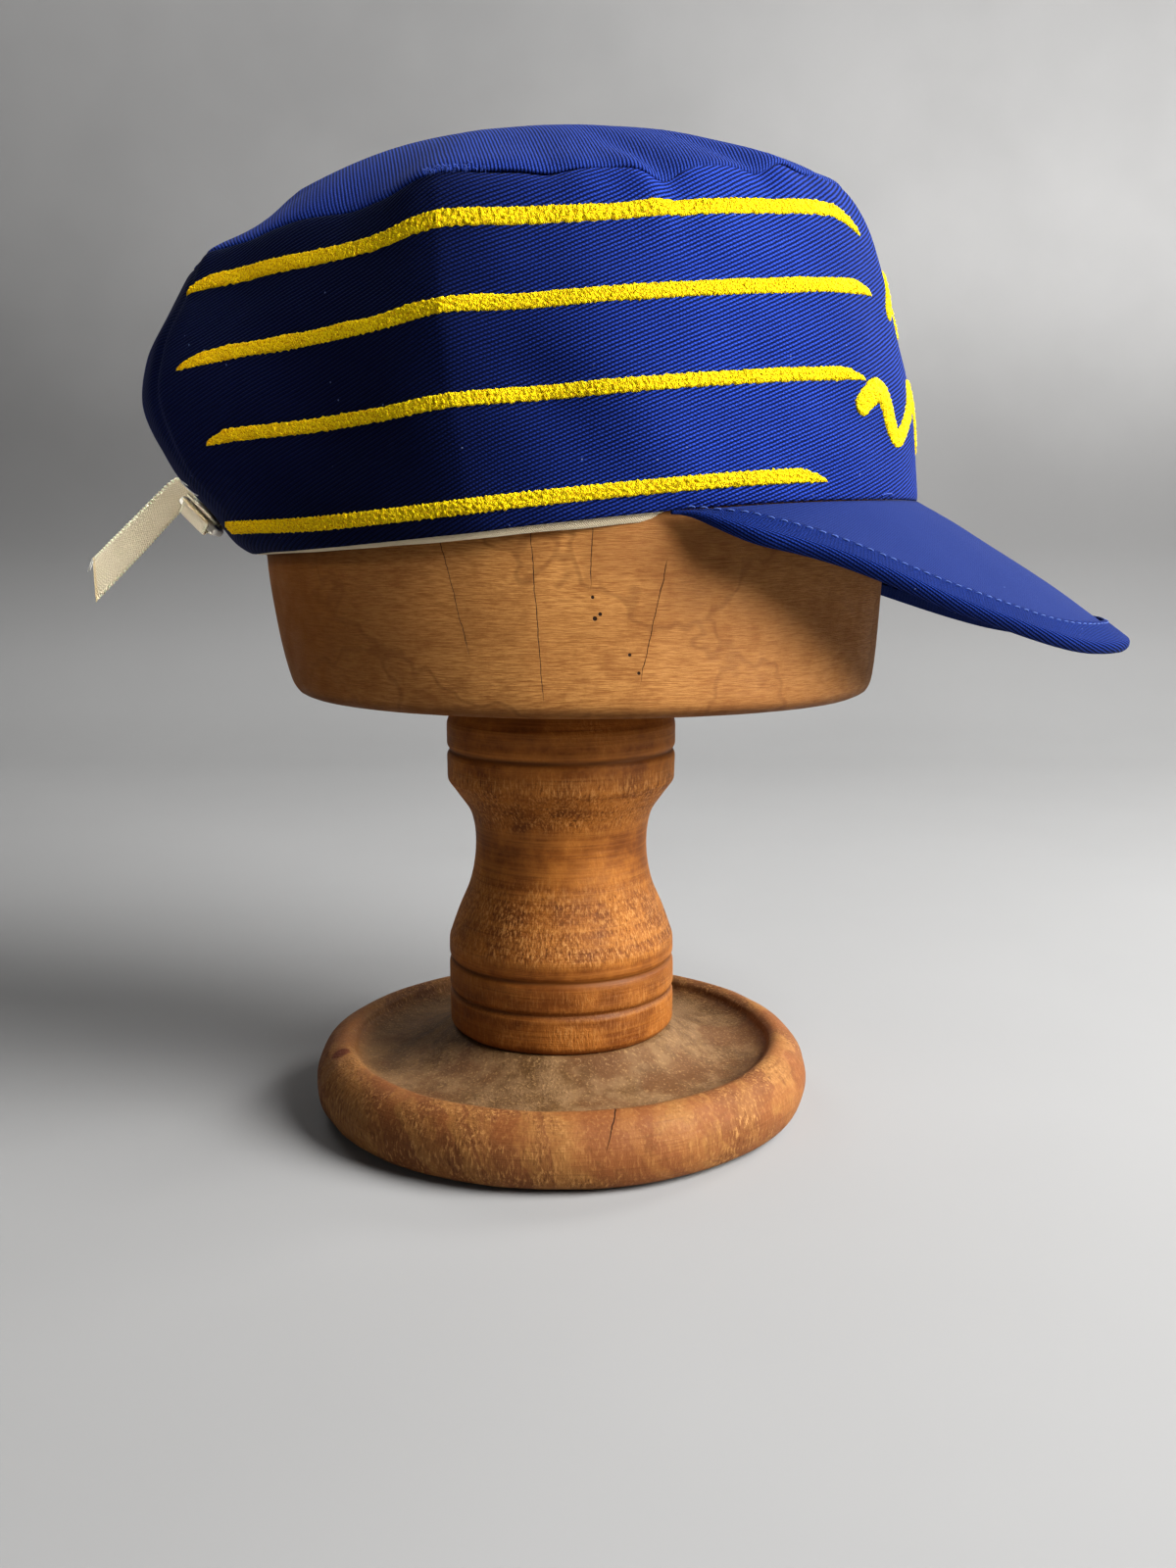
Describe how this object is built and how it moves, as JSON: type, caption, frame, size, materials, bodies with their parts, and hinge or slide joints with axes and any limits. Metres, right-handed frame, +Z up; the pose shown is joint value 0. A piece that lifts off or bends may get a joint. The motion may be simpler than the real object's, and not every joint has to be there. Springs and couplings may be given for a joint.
{
  "type": "pillbox cap on a turned wooden hat stand",
  "caption": "Soft pillbox cap with a domed top, a stiff bound peak and a tape strap behind, sitting on a turned wooden hat stand with an oval block.",
  "frame": {"origin": "centre of the underside of the stand's base", "axes": "+X to the front of the cap, +Y to the wearer's left, +Z up"},
  "size_m": [0.3297, 0.175, 0.3052],
  "materials": {
    "crown_cloth": "royal-blue cotton twill",
    "binding_cloth": "royal-blue twill cut on the bias and folded",
    "sweatband_tape": "white woven cotton tape",
    "strap_tape": "cream herringbone cotton tape",
    "slide_plastic": "cream moulded plastic",
    "block_wood": "worn honey-brown wood with fine cracks",
    "turned_wood": "worn turned wood, waxed",
    "stripe_print": "raised yellow rubbery print with fine cracks"
  },
  "bodies": {
    "root": {"crown_side": "crown_cloth", "crown_top": "crown_cloth", "peak": "crown_cloth", "peak_binding": "binding_cloth", "sweatband": "sweatband_tape", "strap_tape": "strap_tape", "strap_keeper": "strap_tape", "strap_slide": "slide_plastic", "stand_block": "block_wood", "stand_column": "turned_wood", "stand_base": "turned_wood"}
  },
  "joints": []
}
